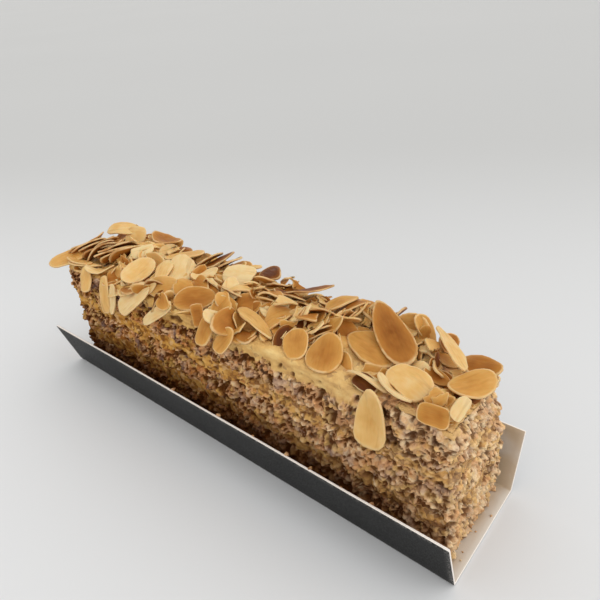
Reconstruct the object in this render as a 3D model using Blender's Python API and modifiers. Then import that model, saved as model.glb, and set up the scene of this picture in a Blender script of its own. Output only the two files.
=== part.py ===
"""A praline cake: a bar of nut sponge and praline cream under toasted almond flakes, on its folded card.

X runs along the bar, from its far end to the end nearest the eye, and -Y is its near side.
The origin is the middle of the card's underside.
"""

import math
import random

import bmesh
import bpy
import numpy as np
from mathutils import Euler, Matrix, Vector, noise

MM = 0.001
GAP = 0.3 * MM  # clear space between neighbouring pieces

# The card: a flat strip with both long sides folded up and leaning outwards.
CARD_LENGTH = 150 * MM
CARD_FLOOR_WIDTH = 31.7 * MM
CARD_THICKNESS = 0.7 * MM
FLAP_WIDTH = 17.8 * MM
FLAP_LEAN = math.radians(15)
FOLD_RADIUS = 1.2 * MM
FOLD_STEPS = 4

# The bar of cake standing on it.
LEFT_END = -66.8 * MM
RIGHT_END = 71.6 * MM
HALF_WIDTH = 13.7 * MM
LAYERS = (  # from the card up: name, what it is made of, thickness
    ("sponge_layer_1", "sponge", 4.1 * MM),
    ("cream_layer_1", "cream", 2.6 * MM),
    ("sponge_layer_2", "sponge", 6.1 * MM),
    ("cream_layer_2", "cream", 5.5 * MM),
    ("sponge_layer_3", "sponge", 6.1 * MM),
    ("cream_layer_3", "cream", 6.0 * MM),
    ("sponge_layer_4", "sponge", 6.1 * MM),
)
TOP_CREAM = 4.0 * MM
STACK_FOOT = CARD_THICKNESS + GAP / 2
STACK_TOP = STACK_FOOT + sum(thickness for _, _, thickness in LAYERS)
CREAM_TOP = STACK_TOP + TOP_CREAM

# How far the bar departs from a plain block.
WAVE = 0.9 * MM  # rise and fall of the layers along the bar
CORNER_DROP = 3.5 * MM  # the far corner of the right end is this much lower
CORNER_RECESS = 3.0 * MM  # and its top this much further in
END_RECESS = 1.5 * MM  # the left end's top is this much further in than its foot
CRAGS = {"sponge": 0.9 * MM, "cream": 0.35 * MM}  # height of the relief on a cut side
SET_BACK = {"sponge": 0.0, "cream": 0.3 * MM}  # cream sits behind the sponge's face
CRAG_SIZE = 4.5 * MM
COLUMNS_ALONG, COLUMNS_ACROSS = 38, 8
ROW_HEIGHT = 3.1 * MM  # greatest height of a row of faces on a side

# Toasted almond flakes.
FLAKE_THICKNESS = 0.85 * MM
FLAKE_SIDES = 8
FLAKE_TAPER = 0.35  # how much narrower than its middle a flake's pointed end is, as a share
FLAKE_LENGTHS = (8.5 * MM, 15.5 * MM)
FLAKE_ASPECT = (0.52, 0.66)  # width over length
FLAKE_ROWS, FLAKE_LANES = 25, 4  # scattered flakes: places along and across the top
FLAKE_JITTER = 0.45  # how far a flake strays from its place, as a share of the spacing
FLAKE_SUPPORT = 0.72  # share of a flake's area that has sunk into what it lies on when it comes to rest
FOLLOW = 0.8  # share of the slope under a flake that it takes on
STRAY = 8  # degrees, spread of a flake's tilt about that slope
STEEPEST = math.radians(24)
SEED = 11
STANDOUT_FLAKES = (  # mm and degrees: x, y, length, width, heading, pitch, roll
    (46.5, 3.5, 18.5, 10.4, -30, -22, 8),
    (61.5, 6.5, 15.0, 8.0, -43, -8, -38),
    (67.8, 0.5, 12.5, 8.8, 52, 2, 6),
    (57.5, -7.5, 11.0, 8.0, -18, -4, 10),
    (45.0, -2.0, 15.0, 9.0, -12, -8, 8),
    (38.0, -11.0, 15.0, 9.0, -68, -24, 6),
    (30.5, -11.5, 11.5, 7.0, -60, -24, 10),
    (-6.5, -10.5, 14.5, 9.8, 27, 6, 26),
    (-17.0, 9.0, 13.0, 8.5, 80, 16, 0),
    (-5.0, 6.0, 12.0, 9.4, 19, 4, 6),
    (-66.5, -12.0, 15.0, 9.4, 205, -4, -12),
    (-61.0, 6.5, 16.0, 9.0, 34, 8, 14),
    (-43.5, 11.0, 13.0, 8.6, 0, -4, 6),
    (17.5, -8.5, 13.5, 8.6, -9, -6, 12),
    (21.5, 9.5, 12.5, 8.0, 41, 12, 4),
    (30.0, 8.0, 12.0, 8.0, 67, 20, 4),
    (65.5, -11.0, 8.0, 7.0, 3, 0, 30),
)
HANGING_FLAKES = (  # those over the near side, in mm and degrees: the same with a z of their own
    (54.4, -15.45, 37.6, 15.0, 9.2, -90, -73, 8),
    (-41.3, -15.45, 37.6, 15.0, 9.6, -90, -73, -8),
)

SURFACES = {  # base colour, roughness
    "card_tray": ((0.045, 0.045, 0.042), 0.6),
    "sponge": ((0.33, 0.17, 0.075), 0.9),
    "cream": ((0.36, 0.17, 0.045), 0.6),
    "almond_topping": ((0.70, 0.42, 0.14), 0.55),
}


def clear_scene():
    for obj in list(bpy.data.objects):
        bpy.data.objects.remove(obj, do_unlink=True)


def make_collection(name):
    collection = bpy.data.collections.new(name)
    bpy.context.scene.collection.children.link(collection)
    return collection


def make_material(name, surface):
    colour, roughness = SURFACES[surface]
    material = bpy.data.materials.new(name)
    material.use_nodes = True
    shader = material.node_tree.nodes["Principled BSDF"]
    shader.inputs["Base Color"].default_value = (*colour, 1)
    shader.inputs["Roughness"].default_value = roughness
    shader.inputs["Metallic"].default_value = 0
    return material


def object_from(bm, name, collection, surface=None):
    """A named object holding the mesh, with a material of its own where a surface is given."""
    mesh = bpy.data.meshes.new(name)
    bm.to_mesh(mesh)
    bm.free()
    obj = bpy.data.objects.new(name, mesh)
    collection.objects.link(obj)
    if surface:
        mesh.materials.append(make_material(name, surface))
    return obj


def smooth(value, low, high):
    """0 below low, 1 above high, and an S-curve between."""
    share = min(max((value - low) / (high - low), 0), 1)
    return share * share * (3 - 2 * share)


def height_at(level, x, y):
    """Where the level of the flat stack really lies: wavy along the bar and straight across it."""
    across = (y + HALF_WIDTH) / (2 * HALF_WIDTH)  # 0 at the near side, 1 at the far side
    lift = (level - STACK_FOOT) / (STACK_TOP - STACK_FOOT)
    calm = smooth(lift, 0, 0.3)
    near_wave = noise.noise(Vector((x / (28 * MM), 0, level / (9 * MM))))
    far_wave = noise.noise(Vector((x / (28 * MM), 7, level / (9 * MM))))
    wave = WAVE * calm * (near_wave * (1 - across) + far_wave * across)
    drop = CORNER_DROP * lift * smooth(x, 40 * MM, RIGHT_END) * across
    return level + wave - drop


def recess_at(x, y, level):
    """How far the ends stand in from the plain block at this height."""
    lift = level / CREAM_TOP
    if x > 0:
        return -CORNER_RECESS * smooth(lift, 0.4, 1.0) * smooth(y, -0.6 * HALF_WIDTH, HALF_WIDTH)
    return END_RECESS * smooth(lift, 0.0, 0.7)


def crag(point, kind):
    """Relief of a cut side: broad lumps with smaller ones on them."""
    place = point / CRAG_SIZE
    lumps = noise.noise(place) + 0.6 * noise.noise(place * 2.3 + Vector((3, 1, 5)))
    return CRAGS[kind] * max(-1, min(1, 1.3 * lumps)) - SET_BACK[kind]


def subdivide_along(bm, axis, cuts, only=None):
    """Cuts every edge that runs along the axis, or those of them that the test picks."""
    edges = [
        edge
        for edge in bm.edges
        if abs((edge.verts[0].co - edge.verts[1].co)[axis]) > 1e-6 and (only is None or only(edge))
    ]
    if cuts > 0:
        bmesh.ops.subdivide_edges(bm, edges=edges, cuts=cuts, use_grid_fill=True)


def at_an_end(edge):
    return all(abs(abs(vert.co.x) - 0.5) < 1e-6 for vert in edge.verts)


def slab(low, high, kind):
    """A layer between two levels of the stack, cut through at its four sides."""
    bm = bmesh.new()
    bmesh.ops.create_cube(bm, size=1)
    subdivide_along(bm, 2, math.ceil((high - low) / ROW_HEIGHT) - 1)
    subdivide_along(bm, 0, COLUMNS_ALONG - 1)
    subdivide_along(bm, 1, COLUMNS_ACROSS - 1, only=at_an_end)
    middle, length = (LEFT_END + RIGHT_END) / 2, RIGHT_END - LEFT_END
    for vert in bm.verts:
        along, across, up = vert.co
        x = middle + along * length
        y = across * 2 * HALF_WIDTH
        level = low + (up + 0.5) * (high - low)
        relief = crag(Vector((x, y, level)), kind)
        at_side = abs(abs(across) - 0.5) < 1e-6
        at_end = abs(abs(along) - 0.5) < 1e-6
        if at_side:
            y += math.copysign(relief, y)
        z = height_at(level, x, y)
        if at_end:
            x += math.copysign(relief, x) + recess_at(x, y, level)
        vert.co = (x, y, z)
    bmesh.ops.triangulate(bm, faces=bm.faces[:])
    bmesh.ops.recalc_face_normals(bm, faces=bm.faces[:])
    return bm


def make_layers(collection):
    level = STACK_FOOT
    for name, kind, thickness in LAYERS:
        bm = slab(level + GAP / 2, level + thickness - GAP / 2, kind)
        object_from(bm, name, collection, kind)
        level += thickness


def card_profile():
    """Half of the card's outer line, across the bar: from its middle, round the fold and up the flap."""
    bend = math.pi / 2 - FLAP_LEAN
    run = FOLD_RADIUS * math.tan(bend / 2)
    fold_start = CARD_FLOOR_WIDTH / 2 - run
    points = [Vector((0, 0, 0))]
    for step in range(FOLD_STEPS + 1):
        angle = bend * step / FOLD_STEPS
        outward, upward = FOLD_RADIUS * math.sin(angle), FOLD_RADIUS * (1 - math.cos(angle))
        points.append(Vector((0, fold_start + outward, upward)))
    up_the_flap = Vector((0, math.sin(FLAP_LEAN), math.cos(FLAP_LEAN)))
    points.append(Vector((0, CARD_FLOOR_WIDTH / 2, 0)) + FLAP_WIDTH * up_the_flap)
    return points


def make_card(collection):
    half = card_profile()
    line = [Vector((0, -point.y, point.z)) for point in reversed(half[1:])] + half
    bm = bmesh.new()
    verts = [bm.verts.new(point + Vector((-CARD_LENGTH / 2, 0, 0))) for point in line]
    edges = [bm.edges.new(pair) for pair in zip(verts, verts[1:])]
    swept = bmesh.ops.extrude_edge_only(bm, edges=edges)["geom"]
    far = [item for item in swept if isinstance(item, bmesh.types.BMVert)]
    bmesh.ops.translate(bm, verts=far, vec=(CARD_LENGTH, 0, 0))
    bmesh.ops.recalc_face_normals(bm, faces=bm.faces[:])
    bm.faces.ensure_lookup_table()
    floor = max(bm.faces, key=lambda face: face.calc_area() * abs(face.normal.z))
    if floor.normal.z > 0:
        bmesh.ops.reverse_faces(bm, faces=bm.faces[:])
    card = object_from(bm, "card_tray", collection, "card_tray")
    shell = card.modifiers.new("thickness", "SOLIDIFY")
    shell.thickness = CARD_THICKNESS
    shell.offset = -1
    shell.use_even_offset = True
    return card


def flake_mesh(length, width):
    """A thin sliced almond: an egg-shaped plate with a straight edge all round."""
    bm = bmesh.new()
    bmesh.ops.create_circle(bm, cap_ends=True, segments=FLAKE_SIDES, radius=0.5)
    for vert in bm.verts:
        taper = 1 - FLAKE_TAPER * vert.co.x
        vert.co = (vert.co.x * length, vert.co.y * width * taper, -FLAKE_THICKNESS / 2)
    raised = bmesh.ops.extrude_face_region(bm, geom=bm.faces[:])["geom"]
    upper = [item for item in raised if isinstance(item, bmesh.types.BMVert)]
    bmesh.ops.translate(bm, verts=upper, vec=(0, 0, FLAKE_THICKNESS))
    bmesh.ops.recalc_face_normals(bm, faces=bm.faces[:])
    return bm


def turned(heading, pitch, roll):
    """Rotation that points a flake's length along heading, raises it by pitch and rolls it about itself."""
    return Euler((roll, -pitch, heading), "XYZ").to_matrix()


class Pile:
    """Heights of the top surface as flakes come to lie on it, on a square grid."""

    CELL = 1.0 * MM

    def __init__(self):
        margin = 12 * MM
        self.xs = np.arange(LEFT_END - margin, RIGHT_END + margin, self.CELL)
        self.ys = np.arange(-HALF_WIDTH - margin, HALF_WIDTH + margin, self.CELL)
        self.height = np.full((len(self.xs), len(self.ys)), -1.0)
        for i, x in enumerate(self.xs):
            for j, y in enumerate(self.ys):
                if LEFT_END + END_RECESS < x < RIGHT_END - CORNER_RECESS and abs(y) < HALF_WIDTH:
                    self.height[i, j] = height_at(CREAM_TOP, x, y)

    def under(self, x, y, heading, length, width):
        """Cells below an oval, with their places along and across it."""
        dx, dy = self.xs[:, None] - x, self.ys[None, :] - y
        along = dx * math.cos(heading) + dy * math.sin(heading)
        across = dy * math.cos(heading) - dx * math.sin(heading)
        inside = (2 * along / length) ** 2 + (2 * across / width) ** 2 < 1
        return inside, along, across

    def slope_under(self, x, y, heading, length, width):
        """Pitch and roll of the surface that the oval would lie on."""
        inside, along, across = self.under(x, y, heading, length, width)
        held = inside & (self.height > 0)
        if held.sum() < 6:
            return 0.0, 0.0
        rows = np.stack([along[held], across[held], np.ones(held.sum())], axis=1)
        slopes = np.linalg.lstsq(rows, self.height[held], rcond=None)[0]
        return math.atan(slopes[0]), math.atan(slopes[1])

    def settle(self, x, y, heading, pitch, roll, length, width):
        """Height at which the oval comes to rest, which the pile then takes in."""
        inside, along, across = self.under(x, y, heading, length, width)
        tilt = along * math.tan(pitch) + across * math.tan(roll)
        held = inside & (self.height > 0)
        z = np.quantile((self.height - tilt)[held], FLAKE_SUPPORT) if held.any() else CREAM_TOP
        surface = z + tilt + FLAKE_THICKNESS / 2
        self.height = np.where(held, np.maximum(self.height, surface), self.height)
        return z


def place_flake(collection, centre, length, width, heading, pitch, roll):
    bm = flake_mesh(length, width)
    bm.transform(Matrix.Translation(centre) @ turned(heading, pitch, roll).to_4x4())
    return object_from(bm, f"flake_{len(collection.objects)}", collection)


def clamp(value, limit):
    return max(-limit, min(limit, value))


def scattered_flakes(rng):
    """Places and sizes of the flakes that fill the top, the largest first."""
    flakes = []
    for row in range(FLAKE_ROWS):
        for lane in range(FLAKE_LANES):
            along = (row + 0.5 + rng.uniform(-FLAKE_JITTER, FLAKE_JITTER)) / FLAKE_ROWS
            across = (lane + 0.5 + rng.uniform(-FLAKE_JITTER, FLAKE_JITTER)) / FLAKE_LANES
            length = rng.uniform(*FLAKE_LENGTHS)
            reach = (CARD_LENGTH - length) / 2  # no flake reaches past the ends of the card
            flakes.append((
                length,
                length * rng.uniform(*FLAKE_ASPECT),
                clamp(LEFT_END + along * (RIGHT_END - LEFT_END), reach),
                (2 * across - 1) * HALF_WIDTH * 0.86,
                rng.uniform(0, math.tau),
                math.radians(rng.gauss(0, STRAY)),
                math.radians(rng.gauss(0, STRAY)),
            ))
    return sorted(flakes, reverse=True)


def make_flakes(collection):
    rng = random.Random(SEED)
    pile = Pile()
    for length, width, x, y, heading, pitch, roll in scattered_flakes(rng):
        lie = pile.slope_under(x, y, heading, length, width)
        pitch = clamp(pitch + FOLLOW * lie[0], STEEPEST)
        roll = clamp(roll + FOLLOW * lie[1], STEEPEST)
        z = pile.settle(x, y, heading, pitch, roll, length, width)
        place_flake(collection, (x, y, z), length, width, heading, pitch, roll)
    for x, y, length, width, *angles in STANDOUT_FLAKES:
        x, y, length, width = (value * MM for value in (x, y, length, width))
        heading, pitch, roll = (math.radians(angle) for angle in angles)
        z = pile.settle(x, y, heading, pitch, roll, length, width)
        place_flake(collection, (x, y, z), length, width, heading, pitch, roll)
    for x, y, z, length, width, *angles in HANGING_FLAKES:
        centre, length, width = Vector((x, y, z)) * MM, length * MM, width * MM
        heading, pitch, roll = (math.radians(angle) for angle in angles)
        place_flake(collection, centre, length, width, heading, pitch, roll)


def islands(bm):
    """The separate closed surfaces of a mesh, as lists of faces."""
    left = set(bm.faces)
    found = []
    while left:
        group, front = [], [left.pop()]
        while front:
            face = front.pop()
            group.append(face)
            for edge in face.edges:
                for other in edge.link_faces:
                    if other in left:
                        left.remove(other)
                        front.append(other)
        found.append(group)
    return found


def signed_volume(faces):
    """Volume inside a closed surface of triangles: negative where it faces inwards, round a hollow."""
    corners = ([vert.co for vert in face.verts] for face in faces)
    return sum(a.dot(b.cross(c)) for a, b, c in corners) / 6


def keep_outer_surface(obj):
    """Fills sealed hollows and drops loose scraps: what stays is the largest closed surface."""
    bm = bmesh.new()
    bm.from_mesh(obj.data)
    bmesh.ops.triangulate(bm, faces=bm.faces[:])
    groups = islands(bm)
    body = max(groups, key=signed_volume)
    rest = [face for group in groups if group is not body for face in group]
    bmesh.ops.delete(bm, geom=rest, context="FACES")
    bm.to_mesh(obj.data)
    bm.free()


def make_topping(collection):
    """The top cream with the almond flakes fused to it."""
    name = "almond_topping"
    topping = object_from(slab(STACK_TOP + GAP / 2, CREAM_TOP, "cream"), name, collection, name)
    flakes = make_collection("flakes")
    make_flakes(flakes)
    fuse = topping.modifiers.new("fuse flakes", "BOOLEAN")
    fuse.operation = "UNION"
    fuse.operand_type = "COLLECTION"
    fuse.collection = flakes
    fuse.solver = "EXACT"
    bpy.context.view_layer.update()
    evaluated = topping.evaluated_get(bpy.context.evaluated_depsgraph_get())
    fused = bpy.data.meshes.new_from_object(evaluated)
    topping.modifiers.clear()
    topping.data = fused
    for flake in list(flakes.objects):
        bpy.data.objects.remove(flake, do_unlink=True)
    bpy.data.collections.remove(flakes)
    keep_outer_surface(topping)


def main():
    clear_scene()
    collection = make_collection("praline_cake")
    make_card(collection)
    make_layers(collection)
    make_topping(collection)


main()
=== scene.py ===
"""The looks of the praline cake: crumbly nut sponge, praline cream, bent almond flakes and the folded card.

Everything is in metres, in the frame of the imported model: X runs along the bar, -Y is its near side.
"""

import random
from collections import namedtuple
from math import atan, copysign, cos, hypot, pi, radians, sin, sqrt, tan, tau

import bmesh
import bpy
import numpy as np
from mathutils import Euler, Matrix, Vector
from mathutils.noise import noise, noise_vector, seed_set, voronoi


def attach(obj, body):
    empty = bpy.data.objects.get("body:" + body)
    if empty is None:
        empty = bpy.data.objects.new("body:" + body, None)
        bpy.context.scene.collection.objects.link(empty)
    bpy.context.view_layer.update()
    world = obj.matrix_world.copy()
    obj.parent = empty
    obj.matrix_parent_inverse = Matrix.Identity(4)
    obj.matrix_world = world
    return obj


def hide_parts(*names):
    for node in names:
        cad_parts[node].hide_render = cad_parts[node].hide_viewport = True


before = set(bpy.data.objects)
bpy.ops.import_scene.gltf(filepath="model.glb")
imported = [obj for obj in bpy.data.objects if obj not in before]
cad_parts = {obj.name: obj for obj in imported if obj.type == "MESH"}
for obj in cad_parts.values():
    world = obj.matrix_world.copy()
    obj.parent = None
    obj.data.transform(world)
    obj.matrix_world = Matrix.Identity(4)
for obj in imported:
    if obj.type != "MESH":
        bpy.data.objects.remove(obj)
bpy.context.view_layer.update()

MM = 0.001

NOISE_SEED = 11
seed_set(NOISE_SEED)  # the vector noise draws its offsets from this seed

# ---- form shared with the solids

CARD_LENGTH = 150 * MM
CARD_FLOOR_WIDTH = 31.7 * MM
CARD_THICKNESS = 0.7 * MM
FLAP_WIDTH = 17.8 * MM
FLAP_LEAN = radians(15)
FOLD_RADIUS = 1.2 * MM

LEFT_END = -66.8 * MM
RIGHT_END = 71.6 * MM
HALF_WIDTH = 13.7 * MM
LAYERS = (  # from the card up: node, what it is made of, thickness
    ("sponge_layer_1", "sponge", 4.1 * MM),
    ("cream_layer_1", "cream", 2.6 * MM),
    ("sponge_layer_2", "sponge", 6.1 * MM),
    ("cream_layer_2", "cream", 5.5 * MM),
    ("sponge_layer_3", "sponge", 6.1 * MM),
    ("cream_layer_3", "cream", 6 * MM),
    ("sponge_layer_4", "sponge", 6.1 * MM),
)
TOP_CREAM = 4 * MM
STACK_FOOT = CARD_THICKNESS + 0.15 * MM
STACK_TOP = STACK_FOOT + sum(thickness for _, _, thickness in LAYERS)
CREAM_TOP = STACK_TOP + TOP_CREAM

WAVE = 0.9 * MM
WAVE_LENGTH = 28 * MM
WAVE_HEIGHT = 9 * MM
CORNER_DROP = 3.5 * MM  # the far corner of the right end is this much lower
CORNER_RECESS = 3 * MM  # and its top this much further in
END_RECESS = 1.5 * MM  # the left end's top is this much further in than its foot
CRAGS = {"sponge": 0.9 * MM, "cream": 0.35 * MM}  # height of the relief on a cut side
SET_BACK = {"sponge": 0.0, "cream": 0.3 * MM}
CRAG_SIZE = 4.5 * MM


def smooth(value, low, high):
    """0 below low, 1 above high, and an S-curve between."""
    share = min(max((value - low) / (high - low), 0), 1)
    return share * share * (3 - 2 * share)


def clamp(value, low, high):
    return max(low, min(high, value))


def height_at(level, x, y):
    """Where a level of the flat stack really lies: wavy along the bar and straight across it."""
    across = (y + HALF_WIDTH) / (2 * HALF_WIDTH)
    lift = (level - STACK_FOOT) / (STACK_TOP - STACK_FOOT)
    calm = smooth(lift, 0, 0.3)
    near_wave = noise(Vector((x / WAVE_LENGTH, 0, level / WAVE_HEIGHT)))
    far_wave = noise(Vector((x / WAVE_LENGTH, 7, level / WAVE_HEIGHT)))
    wave = WAVE * calm * (near_wave * (1 - across) + far_wave * across)
    drop = CORNER_DROP * lift * smooth(x, 40 * MM, RIGHT_END) * across
    return level + wave - drop


def recess_at(x, y, level):
    """How far the ends stand in from the plain block at this height."""
    lift = level / CREAM_TOP
    if x > 0:
        return -CORNER_RECESS * smooth(lift, 0.4, 1.0) * smooth(y, -0.6 * HALF_WIDTH, HALF_WIDTH)
    return END_RECESS * smooth(lift, 0.0, 0.7)


def crag(point, kind):
    """Relief of a cut side: broad lumps with smaller ones on them."""
    place = point / CRAG_SIZE
    lumps = noise(place) + 0.6 * noise(place * 2.3 + Vector((3, 1, 5)))
    return CRAGS[kind] * clamp(1.3 * lumps, -1, 1) - SET_BACK[kind]


# ---- pieces and materials

def new_object(name, data):
    obj = bpy.data.objects.new(name, data)
    bpy.context.scene.collection.objects.link(obj)
    return obj


class Piece:
    """Points and faces of a piece, with what its material reads on each point."""

    def __init__(self, *marks):
        self.verts, self.faces = [], []
        self.marks = {name: [] for name in marks}

    def point(self, place, *marks):
        self.verts.append(place)
        for values, mark in zip(self.marks.values(), marks):
            values.append(mark)

    def finish(self, name, slot, replaces, materials, kinds=None):
        """The object, riding on the cake; kinds numbers each face's material."""
        mesh = bpy.data.meshes.new(name)
        mesh.from_pydata(self.verts, [], self.faces)
        mesh.polygons.foreach_set("use_smooth", [True] * len(mesh.polygons))
        for material in materials:
            mesh.materials.append(material)
        if kinds is not None:
            mesh.polygons.foreach_set("material_index", kinds)
        for key, values in self.marks.items():
            values = np.asarray(values, dtype=np.float32)
            if values.ndim == 1:
                mesh.attributes.new(key, "FLOAT", "POINT").data.foreach_set("value", values)
            else:
                mesh.attributes.new(key, "FLOAT_VECTOR", "POINT").data.foreach_set("vector", values.ravel())
        mesh.update()
        obj = new_object(name, mesh)
        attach(obj, "root")
        if replaces:
            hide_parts(*replaces)
        return obj


SUBSURFACE_DEPTH = 0.8 * MM


class Recipe:
    """A material under construction; most methods add a shader node and return its output."""

    def __init__(self, name, roughness, specular=0.5, subsurface=0.0):
        self.material = bpy.data.materials.new(name)
        self.material.use_nodes = True
        self.tree = self.material.node_tree
        self.shader = self.tree.nodes["Principled BSDF"]
        self.shader.inputs["Roughness"].default_value = roughness
        self.shader.inputs["Specular IOR Level"].default_value = specular
        self.shader.inputs["Subsurface Weight"].default_value = subsurface
        self.shader.inputs["Subsurface Scale"].default_value = SUBSURFACE_DEPTH
        self.place = self.add("ShaderNodeTexCoord").outputs["Object"]

    def add(self, kind, links=(), **settings):
        node = self.tree.nodes.new(kind)
        for key, value in settings.items():
            setattr(node, key, value)
        for socket, value in links:
            self.feed(node.inputs[socket], value)
        return node

    def feed(self, socket, value):
        if isinstance(value, bpy.types.NodeSocket):
            self.tree.links.new(value, socket)
        elif isinstance(value, tuple) and len(value) == 3 and socket.type == "RGBA":
            socket.default_value = (*value, 1)
        else:
            socket.default_value = value

    def attribute(self, name, vector=False):
        node = self.add("ShaderNodeAttribute", attribute_name=name)
        return node.outputs["Vector" if vector else "Fac"]

    def stretched(self, source, factors):
        links = (("Vector", source), ("Scale", factors))
        return self.add("ShaderNodeMapping", links).outputs[0]

    def noise(self, size, detail, source=None):
        """Soft noise whose blotches are about size wide."""
        links = (("Vector", source or self.place), ("Scale", 1 / size), ("Detail", detail))
        return self.add("ShaderNodeTexNoise", links).outputs[0]

    def random_cells(self, size):
        """A number for each of the small cells that fill the space."""
        links = (("Vector", self.place), ("Scale", 1 / size))
        colour = self.add("ShaderNodeTexVoronoi", links).outputs["Color"]
        return self.add("ShaderNodeSeparateColor", ((0, colour),)).outputs[0]

    def sum(self, *terms):
        """Adds sockets and numbers; a pair is a socket and its weight."""
        total = 0.0
        for term in terms:
            value, weight = term if isinstance(term, tuple) else (term, 1)
            links = ((0, value), (1, weight), (2, total))
            total = self.add("ShaderNodeMath", links, operation="MULTIPLY_ADD").outputs[0]
        return total

    def times(self, first, second):
        return self.add("ShaderNodeMath", ((0, first), (1, second)), operation="MULTIPLY").outputs[0]

    def step(self, value, low, high, to_low=0.0, to_high=1.0):
        """Eases from to_low to to_high as the value passes from low to high."""
        links = ((0, value), (1, low), (2, high), (3, to_low), (4, to_high))
        return self.add("ShaderNodeMapRange", links, interpolation_type="SMOOTHSTEP").outputs[0]

    def ramp(self, value, stops):
        node = self.add("ShaderNodeValToRGB", (("Fac", value),))
        elements = node.color_ramp.elements
        while len(elements) < len(stops):
            elements.new(0.5)
        for element, (position, colour) in zip(elements, stops):
            element.position = position
            element.color = (*colour, 1)
        return node.outputs["Color"]

    def mix(self, share, first, second):
        links = ((0, share), (6, first), (7, second))
        return self.add("ShaderNodeMix", links, data_type="RGBA").outputs[2]

    def finish(self, colour, height=None, depth=0.0, roughness=None):
        self.feed(self.shader.inputs["Base Color"], colour)
        if height is not None:
            bump = self.add("ShaderNodeBump", (("Height", height), ("Distance", depth), ("Strength", 1.0)))
            self.feed(self.shader.inputs["Normal"], bump.outputs[0])
        if roughness is not None:
            self.feed(self.shader.inputs["Roughness"], roughness)
        return self.material


def crumb_colour(make, fine, bits, pale, dusky):
    """Tan crumbs with nut skins and bits of nut; dusky is how far the greyer patches go."""
    tone, broad, patch = make.attribute("tone"), make.noise(3.6 * MM, 2), make.noise(8 * MM, 2)
    weighed = ((tone, 0.55), (bits, 0.4), (fine, 1.9), (broad, 1.7), (patch, 1.1), (pale, 0.47))
    shade = make.sum(*weighed, -2.48)
    crumb = make.ramp(shade, (
        (0.0, (0.05, 0.012, 0.002)), (0.16, (0.17, 0.055, 0.014)), (0.3, (0.46, 0.21, 0.08)),
        (0.5, (0.7, 0.38, 0.175)), (0.72, (0.86, 0.545, 0.295)), (0.9, (0.93, 0.64, 0.37)),
        (1.0, (0.96, 0.73, 0.45)),
    ))
    blush, gold, dusk = make.noise(4 * MM, 1), make.noise(3.3 * MM, 2), make.noise(4.6 * MM, 2)
    greyer = make.step(dusk, 0.58 - 0.14 * dusky, 0.66, 0, 0.35 + 0.3 * dusky)
    crumb = make.mix(greyer, crumb, (0.48, 0.325, 0.265))
    crumb = make.mix(make.step(blush, 0.48, 0.62, 0, 0.55), crumb, (0.7, 0.27, 0.06))
    return make.mix(make.step(gold, 0.5, 0.64, 0, 0.55), crumb, (0.88, 0.54, 0.14))


def cut_finish(make, fine, bits, pale, crumb, cream, creamiest):
    """Crumb and cream in ragged patches, paler at the ends, with painted shade in the pores and towards the
    foot.
    """
    creamy, hollow_shade, dust = make.attribute("creamy"), make.attribute("hollow_shade"), make.noise(0.35 * MM, 2)
    sharp = make.step(make.sum(creamy, (fine, 0.5), -0.25), 0.35, 0.65, 0, creamiest)
    colour = make.mix(sharp, crumb, cream)
    colour = make.mix(make.times(pale, 0.24), colour, (0.96, 0.74, 0.47))
    # Painted shade in the pores and torn hollows, a little less at the pale ends.
    pore_shade = make.times(make.step(hollow_shade, 0.05, 0.85, 0, 0.95), make.step(pale, 0.4, 1.0, 1, 0.85))
    colour = make.mix(pore_shade, colour, (0.1, 0.028, 0.004))
    height_up = make.add("ShaderNodeSeparateXYZ", ((0, make.place),)).outputs[2]
    # Painted shade: the long sides darken from about 31 mm down towards the foot, where the near flap
    # shades them; the ends get almost none.
    painted_low_shade = make.times(make.step(height_up, 4 * MM, 31 * MM, 0.84, 0), make.step(pale, 0.45, 0.8, 1, 0.05))
    colour = make.mix(painted_low_shade, colour, (0.1, 0.032, 0.008))
    # Painted shadow of the near flap, deepest below 6 mm on the long sides and faint at the ends.
    foot = make.times(make.step(height_up, 6 * MM, 19 * MM, 0.74, 0), make.step(pale, 0.4, 1.0, 1, 0.1))
    foot = make.times(foot, make.step(pale, 0.0, 0.1, 0.6, 1))
    colour = make.mix(foot, colour, (0.13, 0.036, 0.007))
    height = make.sum((dust, 0.6), (fine, 1.0), (bits, 0.25))
    roughness = make.step(sharp, 0.0, 1.0, 0.9, 0.5)
    return make.finish(colour, height, 0.45 * MM, roughness)


Cream = namedtuple("Cream", "gloss size stretch tones specks")  # of its streaks: size, stretch and tones
BAND_CREAM = Cream(
    0.02, 1.5 * MM, (0.35, 0.6, 1.0),
    ((0.28, (0.24, 0.08, 0.01)), (0.45, (0.58, 0.275, 0.055)), (0.72, (0.84, 0.5, 0.14))),
    ((0.72, 0.9, 0.75, (0.2, 0.07, 0.02)), (0.26, 0.1, 0.6, (0.76, 0.5, 0.26))),
)
TOP_CREAM_LOOK = Cream(
    0.1, 2 * MM, (0.4, 0.7, 1.0),
    ((0.28, (0.52, 0.26, 0.07)), (0.5, (0.75, 0.45, 0.138)), (0.74, (0.87, 0.615, 0.245))),
    ((0.88, 0.98, 0.6, (0.3, 0.13, 0.04)),),
)


def cut_material(name, creamiest, dusky, look=BAND_CREAM):
    """Cut cake: crumbs and pores, and cream with specks of nut where it shows."""
    make = Recipe(name, 0.9, specular=look.gloss)
    fine, bits, pale = make.noise(1.3 * MM, 3), make.random_cells(1.15 * MM), make.attribute("pale")
    streaks = make.noise(look.size, 3, make.stretched(make.place, look.stretch))
    cream = make.ramp(streaks, look.tones)
    for low, high, share, speck in look.specks:
        cream = make.mix(make.step(bits, low, high, 0, share), cream, speck)
    crumb = crumb_colour(make, fine, bits, pale, dusky)
    return cut_finish(make, fine, bits, pale, crumb, cream, creamiest)


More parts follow.
